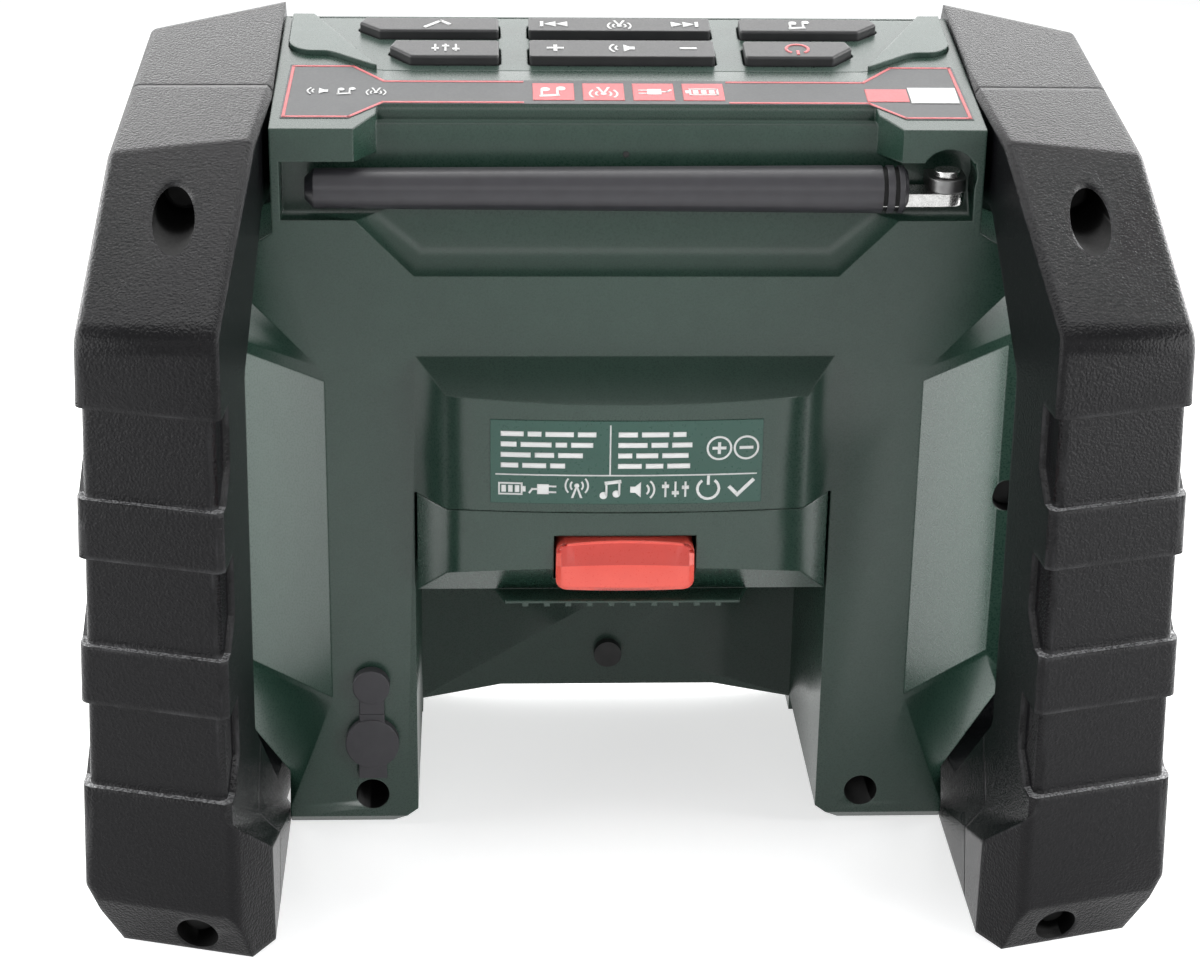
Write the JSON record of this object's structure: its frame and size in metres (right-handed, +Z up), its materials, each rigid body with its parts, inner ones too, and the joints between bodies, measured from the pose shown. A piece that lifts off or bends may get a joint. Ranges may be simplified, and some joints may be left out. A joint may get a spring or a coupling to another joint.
{
  "type": "jobsite radio",
  "caption": "Jobsite radio with roll-bar handles, a rear battery bay with a sprung release, a swinging aerial and a keypad on the slanted top.",
  "frame": {"origin": "on the ground, at the middle of the bounding box", "axes": "+X to the left as seen from behind, +Y to the rear, +Z up"},
  "size_m": [0.2428, 0.1469, 0.1874],
  "materials": {
    "green_body": "matte, fine texture",
    "top_plate": "satin",
    "key_rubber": "satin",
    "soft_rubber": "matte",
    "circuit_board": "satin",
    "red_button": "satin",
    "steel": "satin",
    "black_plastic": "matte",
    "contact_metal": "satin",
    "aerial_rubber": "satin",
    "grille_metal": "matte",
    "magnet_metal": "matte",
    "window_glass": "gloss",
    "bar_rubber": "coarse grain"
  },
  "bodies": {
    "housing": {"rear_shell": "green_body", "front_shell": "green_body", "top_panel": "top_plate", "keypad_mat": "soft_rubber", "control_board": "circuit_board", "battery_dock": "green_body", "release_spring": "steel", "terminal_block": "black_plastic", "terminal_blades": "contact_metal", "aerial_stud": "steel", "aerial_pivot": "steel", "inlet_anchor": "soft_rubber", "inlet_jack": "black_plastic", "speaker_grille": "grille_metal", "speaker_basket": "steel", "speaker_magnet": "magnet_metal", "speaker_cone": "black_plastic", "display_window": "window_glass", "display_module": "black_plastic", "main_board": "circuit_board", "roll_bar_left_rear": "bar_rubber", "roll_bar_left_front": "bar_rubber", "roll_bar_right_rear": "bar_rubber", "roll_bar_right_front": "bar_rubber", "roll_bar_screws": "steel", "shell_screws": "steel"},
    "sound_key_body": {"sound_key": "key_rubber"},
    "select_key_body": {"select_key": "key_rubber"},
    "power_key_body": {"power_key": "key_rubber"},
    "mode_key_body": {"mode_key": "key_rubber"},
    "volume_key_body": {"volume_key": "key_rubber"},
    "channel_key_body": {"channel_key": "key_rubber"},
    "release_button_body": {"release_button": "red_button"},
    "aerial_body": {"aerial_blade": "steel", "aerial_sleeve": "aerial_rubber"},
    "inlet_cap_body": {"inlet_cap": "soft_rubber"}
  },
  "joints": [
    {"name": "sound_key_press", "type": "slide", "parent": "housing", "child": "sound_key_body", "axis": [0, -0.1616, -0.9869], "range_m": [0, 0.0012], "stiffness_N_per_m": 600},
    {"name": "select_key_press", "type": "slide", "parent": "housing", "child": "select_key_body", "axis": [0, -0.1616, -0.9869], "range_m": [0, 0.0012], "stiffness_N_per_m": 600},
    {"name": "power_key_press", "type": "slide", "parent": "housing", "child": "power_key_body", "axis": [0, -0.1616, -0.9869], "range_m": [0, 0.0012], "stiffness_N_per_m": 600},
    {"name": "mode_key_press", "type": "slide", "parent": "housing", "child": "mode_key_body", "axis": [0, -0.1616, -0.9869], "range_m": [0, 0.0012], "stiffness_N_per_m": 600},
    {"name": "volume_key_rock", "type": "hinge", "parent": "housing", "child": "volume_key_body", "pos_m": [0, -0.03012, 0.17766], "axis": [0, 0.9869, -0.1616], "range_deg": [-2.5, 2.5], "stiffness_Nm_per_rad": 0.3},
    {"name": "channel_key_rock", "type": "hinge", "parent": "housing", "child": "channel_key_body", "pos_m": [0, -0.04443, 0.18], "axis": [0, 0.9869, -0.1616], "range_deg": [-2.5, 2.5], "stiffness_Nm_per_rad": 0.3},
    {"name": "release_press", "type": "slide", "parent": "housing", "child": "release_button_body", "axis": [0, -1, 0], "range_m": [0, 0.0035], "stiffness_N_per_m": 800, "deforming": ["release_spring"]},
    {"name": "aerial_swing", "type": "hinge", "parent": "housing", "child": "aerial_body", "pos_m": [-0.0715, 0.0081, 0.1603], "axis": [0, 0, 1], "range_deg": [0, 90]},
    {"name": "inlet_cap_flip", "type": "hinge", "parent": "housing", "child": "inlet_cap_body", "pos_m": [0.0593, 0.0124, 0.0311], "axis": [1, 0, 0], "range_deg": [0, 100], "stiffness_Nm_per_rad": 0.0004}
  ]
}
